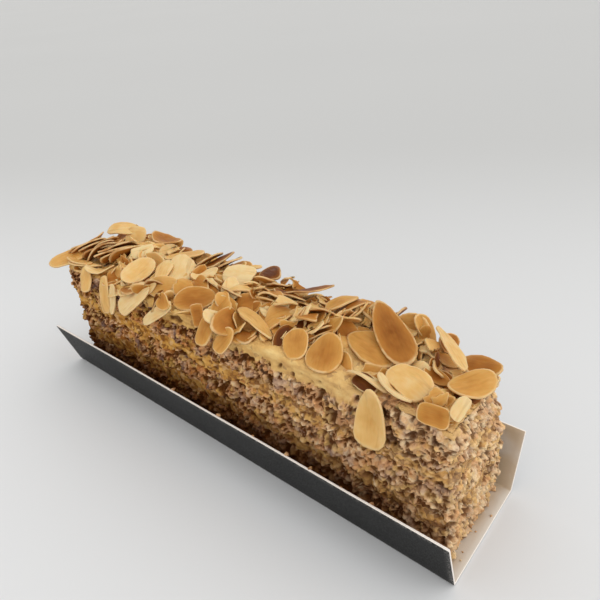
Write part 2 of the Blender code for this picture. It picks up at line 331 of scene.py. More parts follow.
def almond_material():
    """Toasted almond slices: ivory to brown, browner in the middle, with light rims and a fine grain."""
    make = Recipe("toasted almond", 0.45, specular=0.12, subsurface=0.12)
    toast, rim = make.attribute("toast"), make.attribute("rim")
    local = make.attribute("local", vector=True)
    blotch = make.noise(4 * MM, 2, local)
    grain = make.noise(0.6 * MM, 3, make.stretched(local, (0.25, 1.0, 1.0)))
    middle = make.step(make.sum(rim, (blotch, 0.9), -0.45), 0.35, 1.0, 1, 0)
    shade = make.sum(toast, (make.times(middle, toast), 0.35), (blotch, 0.4), (grain, 0.14), -0.25)
    colour = make.ramp(shade, (
        (0.0, (0.79, 0.6, 0.31)), (0.18, (0.74, 0.455, 0.16)), (0.38, (0.6, 0.3, 0.07)),
        (0.6, (0.42, 0.165, 0.028)), (0.82, (0.24, 0.075, 0.009)), (1.0, (0.11, 0.028, 0.004)),
    ))
    veins = make.noise(1.1 * MM, 3, make.stretched(local, (0.12, 1.0, 1.0)))
    colour = make.mix(make.step(veins, 0.54, 0.7, 0, 0.22), colour, (0.3, 0.105, 0.016))
    edge = make.times(make.step(rim, 0.88, 0.99, 0, 1), make.step(blotch, 0.35, 0.6, 0.2, 0.8))
    colour = make.mix(edge, colour, (0.84, 0.61, 0.31))
    height = make.sum((grain, 1.0), (blotch, 0.5))
    return make.finish(colour, height, 0.1 * MM, make.step(grain, 0.3, 0.7, 0.36, 0.56))


def card_materials():
    """The card's dark printed side, its white side and its bare cut edge."""
    printed = Recipe("dark card", 0.5, specular=0.12)
    fibre, cloud = printed.noise(0.35 * MM, 3), printed.noise(14 * MM, 2)
    tint = printed.ramp(cloud, ((0.3, (0.0115, 0.0115, 0.011)), (0.7, (0.0175, 0.0175, 0.0175))))
    rub = printed.times(printed.attribute("worn"), printed.step(fibre, 0.45, 0.62, 0.0, 0.85))
    tint = printed.mix(rub, tint, (0.42, 0.4, 0.38))
    roughness = printed.step(fibre, 0.3, 0.7, 0.42, 0.6)
    dark = printed.finish(tint, fibre, 0.03 * MM, roughness)

    plain = Recipe("white card", 0.6, specular=0.4)
    fibre, cloud = plain.noise(0.4 * MM, 3), plain.noise(9 * MM, 2)
    tint = plain.ramp(cloud, ((0.3, (0.66, 0.62, 0.575)), (0.7, (0.72, 0.685, 0.64))))
    # Grease and painted shade: the white side browns and darkens in blotches next to the cake and on the
    # flaps.
    grease_and_shade = plain.times(plain.attribute("grease_and_shade"), plain.step(cloud, 0.35, 0.6, 0.5, 1))
    tint = plain.mix(grease_and_shade, tint, (0.52, 0.4, 0.27))
    white = plain.finish(tint, fibre, 0.03 * MM)

    cut = Recipe("cut edge of card", 0.8)
    layers = cut.noise(0.25 * MM, 3)
    tint = cut.ramp(layers, ((0.3, (0.84, 0.77, 0.71)), (0.7, (0.93, 0.89, 0.85))))
    edge = cut.finish(tint, layers, 0.05 * MM)
    return dark, white, edge


# ---- the card

CARD_STEP = 1.5 * MM  # spacing of the card's points along it
FLOOR_STEPS, FOLD_STEPS, FLAP_STEPS = 8, 8, 12  # the same across one half of it
BULGE = 0.35 * MM  # how far the flaps are from flat
BULGE_LENGTH = 45 * MM


def card_line():
    """The card's outer side, across the bar from the near flap's edge to the far one's.

    Each point has its place in the Y-Z plane, the direction to the inner side, and how far up a flap it is.
    """
    bend = pi / 2 - FLAP_LEAN
    run = FOLD_RADIUS * tan(bend / 2)
    fold_start = CARD_FLOOR_WIDTH / 2 - run
    half = []
    for step in range(FLOOR_STEPS + 1):
        half.append(((fold_start * step / FLOOR_STEPS, 0.0), (0.0, 1.0), 0.0))
    for step in range(1, FOLD_STEPS + 1):
        angle = bend * step / FOLD_STEPS
        point = (fold_start + FOLD_RADIUS * sin(angle), FOLD_RADIUS - FOLD_RADIUS * cos(angle))
        half.append((point, (-sin(angle), cos(angle)), 0.0))
    foot, inward, _ = half[-1]
    up = (sin(FLAP_LEAN), cos(FLAP_LEAN))
    reach = FLAP_WIDTH - run
    for step in range(1, FLAP_STEPS + 1):
        share = step / FLAP_STEPS
        half.append(((foot[0] + up[0] * reach * share, foot[1] + up[1] * reach * share), inward, share))
    near = [((-y, z), (-iy, iz), share) for (y, z), (iy, iz), share in reversed(half[1:])]
    return near + half


def worn_at(x, y, z, share):
    at_rim = smooth(share, 0.9, 1.0)
    at_end = smooth(abs(x), CARD_LENGTH / 2 - 1.2 * MM, CARD_LENGTH / 2)
    at_fold = 1 - smooth(hypot(abs(y) - CARD_FLOOR_WIDTH / 2, z), 0, 1.6 * MM)
    return max(0.5 * at_rim, 0.6 * at_end, 0.5 * at_fold)


def grease_and_shade_at(x, y):
    """How greasy and shaded the white side is, grease with painted shade: most where the cake touches it
    and on the flaps.
    """
    near_cake = 1 - 0.65 * smooth(x, RIGHT_END + 0.3 * MM, RIGHT_END + 2.6 * MM)
    return max(near_cake, 0.9 * smooth(abs(y), HALF_WIDTH, HALF_WIDTH + 2 * MM))


def card_faces(columns, width):
    """Faces of the printed side, the white one and the cut edge, and their materials' numbers."""
    sheet = (columns + 1) * width
    faces, kinds = [], []
    for i in range(columns):
        for j in range(width - 1):
            a, b = i * width + j, (i + 1) * width + j
            faces += [(a, a + 1, b + 1, b), (sheet + a, sheet + b, sheet + b + 1, sheet + a + 1)]
            kinds += [0, 1]
    border = (
        list(range(width))
        + [i * width + width - 1 for i in range(1, columns + 1)]
        + [columns * width + j for j in range(width - 2, -1, -1)]
        + [i * width for i in range(columns - 1, 0, -1)]
    )
    for a, b in zip(border, border[1:] + border[:1]):
        faces.append((b, a, sheet + a, sheet + b))
        kinds.append(2)
    return faces, kinds


def make_card():
    line = card_line()
    columns = round(CARD_LENGTH / CARD_STEP)
    card = Piece("worn", "grease_and_shade")
    for side in (0.0, 1.0):  # the printed side, then the white one
        for i in range(columns + 1):
            x = -CARD_LENGTH / 2 + CARD_LENGTH * i / columns
            for (y, z), (iy, iz), share in line:
                sway = noise(Vector((x / BULGE_LENGTH, copysign(3, y), 0)))
                depth = side * CARD_THICKNESS + BULGE * share * (0.5 + 0.8 * sway)
                place = (x, y + iy * depth, z + iz * depth)
                card.point(place, worn_at(x, y, z, share), grease_and_shade_at(x, y))
    card.faces, kinds = card_faces(columns, len(line))
    folded = card.finish("card", "card", ["card_tray"], card_materials(), kinds)
    edges = folded.modifiers.new("soft edges", "BEVEL")
    edges.width = 0.12 * MM
    edges.segments = 1
    edges.limit_method = "ANGLE"
    edges.angle_limit = radians(50)


# ---- the layers of the bar

SIDE_STEP = 0.29 * MM  # spacing of points on the cut sides
CORNER_RADIUS = 0.9 * MM
OVERLAP = 0.25 * MM  # how far neighbouring layers run into each other at the surface
EDGE_ROUND = 0.7 * MM  # height over which a layer's edge turns inwards
EDGE_DEPTH = 0.35 * MM
HIDDEN_INSETS = (3 * MM, 2 * MM)  # rows of a hidden top or bottom, in from the side
CRUMB = 0.82 * MM
HIGHEST_CRUMB = 1.2 * MM  # the relief ends here
NOTCH = Vector((71.2, -13.9, 31.0)) * MM  # middle of the crumbled dent in the near right corner
NOTCH_SIZE = 4.2 * MM
NOTCH_DEPTH = 2.4 * MM
# Stretches along the bar over which something changes.
BAND_CRUMBLES = (-10 * MM, 40 * MM)  # the bands of cream turn crumbly
TOP_CRUMBLES = (44 * MM, 56 * MM)  # the top cream does, and its flakes get shorter
TOP_SMOOTH = (-28 * MM, -14 * MM)  # the top cream becomes smooth
SIDE_PALES = (-20 * MM, 66 * MM)  # the long sides turn paler
END_SLANTS = (58 * MM, 65 * MM)  # the slant of the ends sets in, from the middle outwards


def bar_outline(step):
    """Places round the bar, counter-clockwise from its near left corner, with outward directions."""
    radius = CORNER_RADIUS
    centres = (
        (RIGHT_END - radius, -HALF_WIDTH + radius),
        (RIGHT_END - radius, HALF_WIDTH - radius),
        (LEFT_END + radius, HALF_WIDTH - radius),
        (LEFT_END + radius, -HALF_WIDTH + radius),
    )
    ring = []
    for turn, (cx, cy) in enumerate(centres):
        px, py = centres[turn - 1]
        out = Vector((round(sin(turn * pi / 2)), -round(cos(turn * pi / 2))))
        span = hypot(cx - px, cy - py)
        count = round(span / step)
        for i in range(count):
            share = i / count
            along_x, along_y = px + (cx - px) * share, py + (cy - py) * share
            ring.append((along_x + out.x * radius, along_y + out.y * radius, out.x, out.y))
        arc = max(3, round(radius * pi / 2 / step))
        for i in range(arc):
            angle = radians(-90 + 90 * turn + 90 * i / arc)
            nx, ny = cos(angle), sin(angle)
            ring.append((cx + nx * radius, cy + ny * radius, nx, ny))
    return ring


# Where the top cream was drawn down over the near side, in mm: middle, half width, depth.
SMEARS = ((16, 13, 0.6), (34, 8, 0.8), (46, 7, 3.0), (-30, 8, 1.0), (-4, 7, 1.2))


def boundary_shift(x, y, level):
    """How far the line between two layers strays: ragged, and lower where cream was smeared."""
    if level < STACK_FOOT + MM:
        return 0.0
    place = Vector((x, y, level * 3))
    shift = 0.5 * MM * noise(place / (5 * MM)) + 0.3 * MM * noise(place / (1.4 * MM))
    if abs(level - STACK_TOP) < 0.1 * MM and y < 0:
        for middle, half, depth in SMEARS:
            drawn_down = 1 - smooth(abs(x - middle * MM), 0, half * MM)
            shift -= depth * MM * drawn_down * (0.75 + 0.5 * noise(place / (3 * MM)))
    return shift


def cream_depth(level):
    """How deep in a band of cream a level lies, negative where it is sponge."""
    foot = STACK_FOOT
    deepest = level - STACK_TOP
    for _, kind, thickness in LAYERS:
        if kind == "cream":
            deepest = max(deepest, min(level - foot, foot + thickness - level))
        foot += thickness
    return deepest


def creaminess(point, cover):
    """1 where cream shows at a cut side and 0 where crumb does, in ragged patches."""
    patch = noise(Vector((point.x * 0.6, point.y * 0.6, point.z)) / (3.2 * MM))
    fine = noise(point / (1 * MM))
    depth = cream_depth(point.z) / MM + 3.0 * patch + 0.9 * fine - cover
    return smooth(depth, -0.5, 0.5)


def crumb_relief(point):
    """Torn sponge: uneven crumbs, open bubbles between them and deeper holes."""
    drawn = Vector((point.x * 0.7, point.y, point.z * 0.8))
    sway = 0.55 * noise_vector(drawn / (1.5 * MM))
    distances, cells = voronoi(drawn / CRUMB + sway)
    centre = Vector(cells[0])
    inside = smooth(distances[1] - distances[0], 0.0, 0.35)
    bubble = smooth(noise(centre * 17.3), -0.06, 0.08)
    shape = inside * (0.4 * (1 - bubble) * (1.2 - distances[0]) - 0.55 * bubble) - 0.2 * (1 - inside)
    cave = smooth(noise(drawn / (2.2 * MM) + Vector((1, 7, 3))), 0.18, 0.43)
    ridge = 1 - 2 * abs(noise(drawn / (1.2 * MM) + Vector((4, 4, 8))))
    fine = noise(point / (0.55 * MM))
    offset = crag(point, "sponge") + MM * (shape - 1.0 * cave + 0.55 * ridge + 0.3 * fine)
    tone = clamp(0.5 + 1.1 * noise(centre * 31.7), 0, 1)
    # painted shade for the open bubbles, the holes and the cracks between crumbs
    hollow_shade = clamp(0.95 * bubble * inside + 0.6 * cave + 0.3 * (1 - inside), 0, 1)
    return min(offset, HIGHEST_CRUMB), tone, hollow_shade


def cream_relief(point):
    """Cut cream: drawn out along the bar and torn here and there."""
    drawn = Vector((point.x * 0.4, point.y * 0.7, point.z))
    torn = smooth(noise(point / (2.2 * MM) + Vector((5, 8, 1))), 0.2, 0.45)
    streak = noise(drawn / (1 * MM)) + 0.5 * noise(point / (0.7 * MM))
    offset = crag(point, "cream") + MM * (0.36 * streak - 0.9 * torn)
    # the last value is painted shade in the tears
    return offset, 0.5, clamp(0.75 * torn, 0, 1)


def cut_relief(point, creamy):
    """Relief, tone and painted shade of the hollows of a cut side, crumb and cream blended."""
    crumb = crumb_relief(point)
    if creamy < 0.01:
        return crumb
    smoothness = 0.9
    if point.z < STACK_TOP:
        smoothness = 0.8 - 0.4 * smooth(point.x, *BAND_CRUMBLES)
    share = creamy * smoothness
    return tuple(a + (b - a) * share for a, b in zip(crumb, cream_relief(point)))


def near_end(x):
    """How far a place takes part in the slant of its end of the bar."""
    return smooth(abs(x), *END_SLANTS)


def cover_at(x, level, at_end):
    """How many mm of a band of cream are hidden by crumb at its edges."""
    if level > STACK_TOP:
        return 0.6 + 4.5 * smooth(x, *TOP_CRUMBLES) + 2.4 * (1 - smooth(x, *TOP_SMOOTH))
    return 0.6 + 0.1 * at_end + 0.7 * smooth(x, *BAND_CRUMBLES)


def pale_at(x, at_end):
    pale = at_end if x > 0 else 0.85 * at_end
    return min(pale + smooth(x, *SIDE_PALES) * 0.7, 1.0)


def bar_point(x, y, nx, ny, level, inset=0.0, lift=0.0, calm=0.0):
    """A point of a cut side at a level of the stack, with its tone, painted shade of its hollows,
    creaminess and paleness.

    Where calm is 1 the relief is gone, for the rounded edge of the top cream.
    """
    base = Vector((x, y, level))
    at_end = smooth(abs(nx), 0.3, 0.9)
    creamy = creaminess(base, cover_at(x, level, at_end))
    offset, tone, hollow_shade = cut_relief(base, creamy)
    dent = 1 - smooth((base - NOTCH).length, 0.0, NOTCH_SIZE)
    fade = 1 - smooth(inset, 0.6 * MM, 2 * MM)
    fade *= 1 - calm * creamy
    out = offset * fade - inset - NOTCH_DEPTH * dent
    px = x + nx * out + recess_at(x, y, level) * near_end(x)
    py = y + ny * out
    pz = height_at(level, px, py) + lift
    return (px, py, pz), tone, hollow_shade * fade, creamy, pale_at(x, at_end)


def layer_rows(height):
    """Rows of a layer's side from its foot up: share of its height, and how far its edge turns in."""
    count = max(6, round(height / SIDE_STEP))
    rows = []
    for i in range(count + 1):
        share = i / count
        to_edge = min(share, 1 - share) * height
        rows.append((share, EDGE_DEPTH * (1 - smooth(to_edge, 0, EDGE_ROUND)) ** 1.5))
    return rows


# the second mark is painted shade in the hollows
CUT_MARKS = ("tone", "hollow_shade", "creamy", "pale")  # what the materials of cut cake read


class Side(Piece):
    """Rows of points round the bar, from the foot of a layer up."""

    def __init__(self):
        super().__init__(*CUT_MARKS)
        self.ring = bar_outline(SIDE_STEP)

    def row(self, place):
        """Adds a row; place gives a point and its marks for a place and direction of the outline."""
        for x, y, nx, ny in self.ring:
            self.point(*place(x, y, nx, ny))

    def hidden_row(self, inset, level, shift):
        def place(x, y, nx, ny):
            px, py = x - nx * inset + recess_at(x, y, level) * near_end(x), y - ny * inset
            return (px, py, height_at(level, px, py) + shift), 0.5, 0.5, 0.5, 0
        self.row(place)

    def close(self, name, slot, node, material):
        """Joins the rows, closes the top and bottom and makes the piece."""
        count = len(self.ring)
        last = len(self.verts) - count
        for start in range(0, last, count):
            for i in range(count):
                a, b = start + i, start + (i + 1) % count
                self.faces.append((a, b, b + count, a + count))
        self.faces += [tuple(reversed(range(count))), tuple(range(last, last + count))]
        self.finish(name, slot, [node], [material])


def make_layer(name, node, kind, low, high, material):
    """One layer: its torn side all round, and a plain hidden top and bottom."""
    side = Side()
    foot_grip = 0.0 if low < STACK_FOOT + MM else OVERLAP
    for inset in HIDDEN_INSETS:
        side.hidden_row(inset, low, -foot_grip)
    for share, inset in layer_rows(high - low):
        level = low + share * (high - low)

        def place(x, y, nx, ny):
            shift = (1 - share) * (boundary_shift(x, y, low) - foot_grip)
            shift += share * (boundary_shift(x, y, high) + OVERLAP)
            return bar_point(x, y, nx, ny, level, inset, shift)
        side.row(place)
    for inset in reversed(HIDDEN_INSETS):
        side.hidden_row(inset, high, OVERLAP)
    side.close(name, kind, node, material)


def make_layers():
    materials = {
        "sponge": cut_material("nut sponge", 0.75, 0.9),
        "cream": cut_material("praline cream", 1.0, 0.1),
    }
    level = STACK_FOOT
    for node, kind, thickness in LAYERS:
        make_layer(node.replace("_layer", ""), node, kind, level, level + thickness, materials[kind])
        level += thickness


TOP_RINGS = (0.3, 0.7, 1.3, 2.0, 2.8, 3.8, 5.0, 6.4, 7.8, 9.2, 10.6, 11.8, 12.6)  # mm in from the edge
TOP_ROUND = 1.8 * MM  # height of the top cream's rounded edge
TURN_IN = 0.55  # how far in the edge turns, as a share of that


def make_top_cream():
    """The cream under the flakes: a soft edge all round and a spread, uneven top."""
    side = Side()
    for inset in HIDDEN_INSETS:
        side.hidden_row(inset, STACK_TOP, -OVERLAP)
    count_up = round(TOP_CREAM / SIDE_STEP)
    for i in range(count_up + 1):
        share = i / count_up
        level = STACK_TOP + share * TOP_CREAM
        over = max(0.0, level - (CREAM_TOP - TOP_ROUND)) / TOP_ROUND
        inset = TOP_ROUND * (1 - sqrt(max(0.0, 1 - over * over))) * TURN_IN

        def place(x, y, nx, ny):
            shift = (1 - share) * (boundary_shift(x, y, STACK_TOP) - OVERLAP)
            calm = smooth(share, 0.5, 0.9)
            proud = 0.5 * MM * (1 - share) * smooth(-shift, 0.5 * MM, 1.5 * MM)
            return bar_point(x, y, nx, ny, level, inset - proud, shift, calm)
        side.row(place)
    for ring in TOP_RINGS:
        inset = ring * MM

        def place(x, y, nx, ny):
            point, *marks = bar_point(x, y, nx, ny, CREAM_TOP, inset + TOP_ROUND * TURN_IN, calm=1.0)
            spot = Vector(point)
            ripple = 0.7 * noise(spot / (4 * MM)) + 0.25 * noise(spot / (1.4 * MM))
            ripple *= MM * smooth(inset, 0, 2 * MM)
            return ((point[0], point[1], point[2] + ripple), *marks)
        side.row(place)
    material = cut_material("top cream", 1.0, 0.4, TOP_CREAM_LOOK)
    side.close("top_cream", "cream", "almond_topping", material)


# ---- almond flakes

FLAKE_THICKNESS = 0.5 * MM
FLAKE_POINTS = 22  # round the rim
FLAKE_RINGS = (1.0, 0.93, 0.64, 0.32)  # shares of the outline, from the rim inwards
FLAKE_ASPECT = (0.48, 0.68)  # width over length
USUAL_LENGTH, USUAL_WIDTH = 12 * MM, 7 * MM
BEND, CUP, TWIST = 1.5 * MM, 0.8 * MM, 1 * MM  # how much one of that size is curved
MAX_PRESS = 1 * MM  # how far a flake may be pressed into the cream by one that lies over it
CLEARANCE = 2.8 * FLAKE_THICKNESS  # left below a fixed flake for the one under it
FOLLOW = 0.8  # share of the slope under a flake that it takes on
SEED = 11
HIGHEST = 47.3 * MM  # the flakes stay below this

STANDOUT_FLAKES = (  # mm, degrees: x, y, z, length, width, heading, pitch, roll; toast; squareness, taper
    (46.2, 5.2, 45, 21.5, 7.9, 142, 11, -4, 0.54, 0, 0.3),
    (59.8, 7.7, 44.4, 15, 5.6, 139, 6, 40, 0.12, 0, 0),
    (68.3, 1, 42.6, 11, 7, 57, -2, 8, 0.3, 0.1, 0.1),
    (57.6, -6.4, 43.5, 10, 7.6, 167, 6, -10, 0.12, 0.6, 0.1),
    (56.2, -10.6, 43.6, 10, 3.8, 158, 4, 40, 0, 0.3, 0.1),
    (44, 0.4, 42.5, 15, 9, 168, 5, -4, 0.34, 0, 0.2),
    (36.8, -8.4, 43.1, 12, 8.8, -66, -12, 4, 0.4, 0, 0.1),
    (28.6, -8.6, 42.9, 10, 6, -54, -12, 6, 0.36, 0.3, 0.1),
    (-7.8, -8, 43.4, 12, 8.6, 38, 2, 20, 0.46, 0, 0.15),
    (-17, 10, 44.8, 10.5, 6.6, 62, 16, -18, 0.75, 0.1, 0.2),
    (-20.2, 8.4, 44.6, 10, 6, 66, 12, -34, 0.62, 0, 0.3),
    (-13.6, 10.8, 44.4, 9, 6, 58, 14, -30, 0.7, 0, 0.3),
    (2.1, 12.4, 44.4, 8.6, 6, -19, 7, 14, 0.8, 0, 0.2),
    (-5.5, 7, 44.2, 9.8, 8, -160, 2, -22, 0.02, 0.5, 0.1),
    (-65.6, -12.2, 43.2, 13.5, 8.4, -110, -8, -8, 0.26, 0.2, 0.2),
    (-63.4, 7.8, 45.7, 11, 6, -152, 1, -19, 0.12, 0.4, 0.1),
    (-57.2, 8.6, 44.3, 7.4, 6.6, 29, 0, 46, 0.12, 0.7, 0),
    (-45.2, 12, 44.6, 13, 7.6, 174, 2, 10, 0.5, 0, 0.2),
    (13.9, -7.2, 43.2, 16.5, 5.2, 161, 3, 26, 0.2, 0.1, 0.2),
    (17.4, 10, 44.8, 15, 6, 36, 6, -24, 0.66, 0, 0.2),
    (14.5, 6.2, 44.4, 11.5, 5, -7, 2, -34, 0.74, 0, 0.2),
    (28.7, 9.6, 44.8, 9, 5.8, 49, 14, -14, 0.3, 0.2, 0.2),
    (49.8, -10.2, 43.2, 10.4, 3.4, 174, 2, 28, 0, 0, 0.1),
    # painted shade: this very dark flake lies where the pale crescent above it shades the pile
    (49.6, -11.2, 42.6, 6.5, 4.2, 165, 4, -20, 0.92, 0.2, 0.1),
    (66.4, -12.4, 43.1, 6.4, 4.3, 196, 8, -50, 0.42, 0.9, 0),
    (70.3, -9, 44.3, 5, 3.2, 80, 30, 50, 0, 0.8, 0),
    (65.6, 11.2, 39.3, 9.5, 6.2, 2, 8, 12, 0.5, 0.3, 0.1),
    (-64, -5, 42.7, 12, 8, 70, 0, -10, 0.45, 0.2, 0.1),
    (-29.6, 7.2, 44.4, 12.4, 8.4, -129, 1, 12, 0.2, 0, 0.2),
    (-35.1, -7, 44, 12.5, 8, -85, -8, -16, 0.1, 0.1, 0.2),
    (-22.4, -0.9, 45, 12.5, 8.6, -60, -10, -6, 0.04, 0.2, 0.3),
    (-27, -3.4, 44.6, 11, 5.4, -50, -6, 12, 0.1, 0.2, 0.3),
    (-57.5, -11.6, 42.6, 13, 5.5, 14, 0, -26, 0.1, 0.4, 0.1),
    (-58.6, -12.2, 43.5, 11, 5, 4, 2, -24, 0.22, 0.2, 0.2),
    (-48.6, -11.8, 43.2, 10, 5, 22, 2, -20, 0.08, 0.4, 0.1),
)
# Those that lean on the near side: x, z, length, width, spin, tilt; toast; squareness, taper.
NEAR_EDGE_FLAKES = (
    (53.9, 37.7, 13.8, 7, 97, 76, 0.15, 0.3, 0.22),
    (-42.6, 37.6, 11.5, 5, -78, 72, 0.18, 0.7, 0.06),
    (-38.4, 37.4, 9.5, 2.6, -84, 70, 0.02, 0.7, 0.06),
    (-16.4, 39.8, 12, 3.6, 40, 58, 0.02, 0.8, 0.06),
    (-26.5, 41.6, 12, 7.4, 58, 44, 0.03, 0.4, 0.3),
    (-52, 40.6, 9, 4.6, 120, 50, 0.16, 0.6, 0.1),
    (10.4, 41, 7.5, 4.6, 70, 50, 0.3, 0.5, 0.1),
    (4, 42, 9, 5, 100, 40, 0.34, 0.4, 0.2),
)
HIDDEN_EDGE_FLAKES, LEFT_EDGE_FLAKES = 12, 3  # on the far side and left end; on the left end alone
STACK_FLAKES = 13  # close behind each other, like leaning tiles, at the left end
STACK_FROM, STACK_STEP = -66.5 * MM, 1.5 * MM
STACK_HEIGHT = 44.2  # mm


def random_seat(rng):
    """A place of its own in the noise, so that no two flakes or crumbs are alike."""
    return Vector([rng.uniform(-50, 50) for _ in range(3)])


def flake_outline(rng, length, width, square, taper, broken):
    """The rim of a sliced almond: egg-shaped, uneven, and cut off where it is broken."""
    angles = np.linspace(0, tau, FLAKE_POINTS, endpoint=False)
    phases = [rng.uniform(0, tau) for _ in range(2)]
    uneven = 1 + 0.03 * np.sin(2 * angles + phases[0]) + 0.03 * np.sin(3 * angles + phases[1])
    power = 1 - 0.5 * square
    along = np.sign(np.cos(angles)) * np.abs(np.cos(angles)) ** power
    across = np.sign(np.sin(angles)) * np.abs(np.sin(angles)) ** power
    nicks = np.array([rng.gauss(0, 0.012) for _ in angles])
    points = np.stack([
        along * (uneven + nicks) * length / 2,
        across * (uneven + nicks) * width / 2 * (1 - taper * along),
    ], axis=1)
    for _ in range(broken):
        direction = rng.uniform(0, tau)
        normal = np.array([cos(direction), sin(direction)])
        reach = rng.uniform(0.2, 0.6) * (points @ normal).max()
        over = (points @ normal) - reach
        jag = np.array([rng.gauss(0, 0.18 * MM) for _ in points])
        points = points - np.where(over > 0, over + jag, 0)[:, None] * normal
    return points


class Flakes(Piece):
    """Many flakes gathered into one piece."""

    def add(self, rng, place, length, width, toast, square=0.0, taper=0.2, broken=0, warp=1.0):
        """Adds a thin curved plate at the place that the matrix gives."""
        outline = flake_outline(rng, length, width, square, taper, broken)
        centre = outline.mean(axis=0)
        bend = warp * rng.gauss(0, BEND) * length / USUAL_LENGTH
        cup = warp * rng.gauss(0, CUP) * width / USUAL_WIDTH
        twist = warp * rng.gauss(0, TWIST) * length / USUAL_LENGTH
        seat = random_seat(rng)
        thickness = FLAKE_THICKNESS * rng.uniform(0.8, 1.25)
        first = len(self.verts)
        for side in (1, -1):
            rings = [(x, y, share) for share in FLAKE_RINGS for x, y in centre + (outline - centre) * share]
            for x, y, share in rings + [(*centre, 0.0)]:
                along, across = 2 * x / length, 2 * y / width
                ripple = 0.4 * MM * noise(Vector((x, y, 0)) / (3.2 * MM) + seat)
                curve = bend * (along * along - 0.4) + cup * (across * across - 0.3)
                curve += twist * along * across
                edge = 0.8 if share == 1.0 else 1.0
                point = place @ Vector((x, y, curve + ripple + side * edge * thickness / 2))
                local = (x + seat.x * MM, y + seat.y * MM, seat.z * MM + side * MM)
                self.point(point, toast, share, local)
        too_high = Vector((0, 0, max(0.0, max(point.z for point in self.verts[first:]) - HIGHEST)))
        self.verts[first:] = [point - too_high for point in self.verts[first:]]
        self.add_faces(first, len(outline))

    def add_faces(self, first, count):
        """Upper side, underside and rim of the flake whose points start at first."""
        inner = (len(FLAKE_RINGS) - 1) * count
        sheet = inner + count + 1
        for i in range(count):
            j = (i + 1) % count
            for start, top in ((first, True), (first + sheet, False)):
                for ring in range(start, start + inner, count):
                    quad = (ring + i, ring + j, ring + count + j, ring + count + i)
                    self.faces.append(quad if top else quad[::-1])
                last, middle = start + inner, start + inner + count
                self.faces.append((last + i, last + j, middle) if top else (last + j, last + i, middle))
            self.faces.append((first + j, first + i, first + i + sheet, first + j + sheet))


def turned(heading, pitch, roll):
    """Rotation that points a flake's length along heading, raised by pitch, and rolls it."""
    return Euler((roll, -pitch, heading), "XYZ").to_matrix().to_4x4()


def leaning(outward, tilt, spin):
    """Rotation of a flake that leans on a side facing outward, tilted from flat and spun in its plane."""
    rotate = Matrix.Rotation
    return rotate(outward + pi / 2, 4, "Z") @ rotate(tilt, 4, "X") @ rotate(spin, 4, "Z")


class Pile:
    """Heights of the top as flakes come to lie on it, and undersides of those fixed above it."""

    CELL = 0.6 * MM

    def __init__(self):
        margin = 9 * MM
        self.xs = np.arange(LEFT_END - margin, RIGHT_END + margin, self.CELL)
        self.ys = np.arange(-HALF_WIDTH - margin, HALF_WIDTH + margin, self.CELL)
        self.height = np.full((len(self.xs), len(self.ys)), -1.0)
        self.ceiling = np.full((len(self.xs), len(self.ys)), 1.0)
        inner_right = RIGHT_END - CORNER_RECESS * 0.5
        for i, x in enumerate(self.xs):
            for j, y in enumerate(self.ys):
                if LEFT_END + END_RECESS < x < inner_right and abs(y) < HALF_WIDTH - 0.3 * MM:
                    self.height[i, j] = height_at(CREAM_TOP, x, y)
        self.cream = self.height.copy()

    def under(self, x, y, length, width, heading, pitch=0.0, roll=0.0):
        """Cells below a flake, with their places along and across it."""
        length, width = length * cos(pitch), width * cos(roll)
        dx, dy = self.xs[:, None] - x, self.ys[None, :] - y
        along = dx * cos(heading) + dy * sin(heading)
        across = dy * cos(heading) - dx * sin(heading)
        inside = (2 * along / length) ** 2 + (2 * across / width) ** 2 < 1
        return inside, along, across

    def slope_under(self, x, y, length, width, heading):
        """Pitch and roll of the surface that the flake would lie on."""
        inside, along, across = self.under(x, y, length, width, heading)
        held = inside & (self.height > 0)
        if held.sum() < 6:
            return 0.0, 0.0
        rows = np.stack([along[held], across[held], np.ones(held.sum())], axis=1)
        slopes = np.linalg.lstsq(rows, self.height[held], rcond=None)[0]
        return atan(slopes[0]), atan(slopes[1])

    def reserve(self, x, y, z, length, width, heading, pitch, roll):
        """Keeps the space of a flake that is already fixed."""
        inside, along, across = self.under(x, y, length, width, heading, pitch, roll)
        surface = z + along * tan(pitch) + across * tan(roll) - 0.5 * FLAKE_THICKNESS
        self.ceiling = np.where(inside, np.minimum(self.ceiling, surface), self.ceiling)

    def settle(self, x, y, length, width, heading, pitch, roll, support):
        """Height at which the flake comes to rest on the pile, or None where there is no room."""
        inside, along, across = self.under(x, y, length, width, heading, pitch, roll)
        tilt = along * tan(pitch) + across * tan(roll)
        held = inside & (self.height > 0)
        z = np.quantile((self.height - tilt)[held], support) if held.any() else CREAM_TOP
        z += FLAKE_THICKNESS * 0.4
        rise = abs(sin(pitch)) * length / 2 + abs(sin(roll)) * width / 2
        z = min(z, HIGHEST - 0.85 * rise)
        room = (self.ceiling - tilt)[inside].min() - CLEARANCE if inside.any() else z
        if held.any() and (self.cream - tilt)[held].mean() - room > MAX_PRESS:
            return None
        z = min(z, room)
        surface = z + tilt + FLAKE_THICKNESS / 2
        self.height = np.where(held, np.maximum(self.height, surface), self.height)
        return z


def toast_of(rng, browner):
    """How brown a flake is: most are golden and some toasted; the extra is more toast, partly painted shade
    for the lower flakes.
    """
    toast = rng.gauss(0.2, 0.13) if rng.random() < 0.8 else rng.uniform(0.35, 0.75)
    return clamp(toast + browner, 0, 1)


OVERHANG_LEFT, OVERHANG_RIGHT = 3.5 * MM, 0.8 * MM  # how far strewn flakes may reach over the edges
OVERHANG_NEAR, OVERHANG_FAR = 2.8 * MM, 2.5 * MM
BARE_RIM = 4.2 * MM  # how much less that is on the near side where the cream shows
BARE_STRETCH = (8 * MM, 18 * MM)


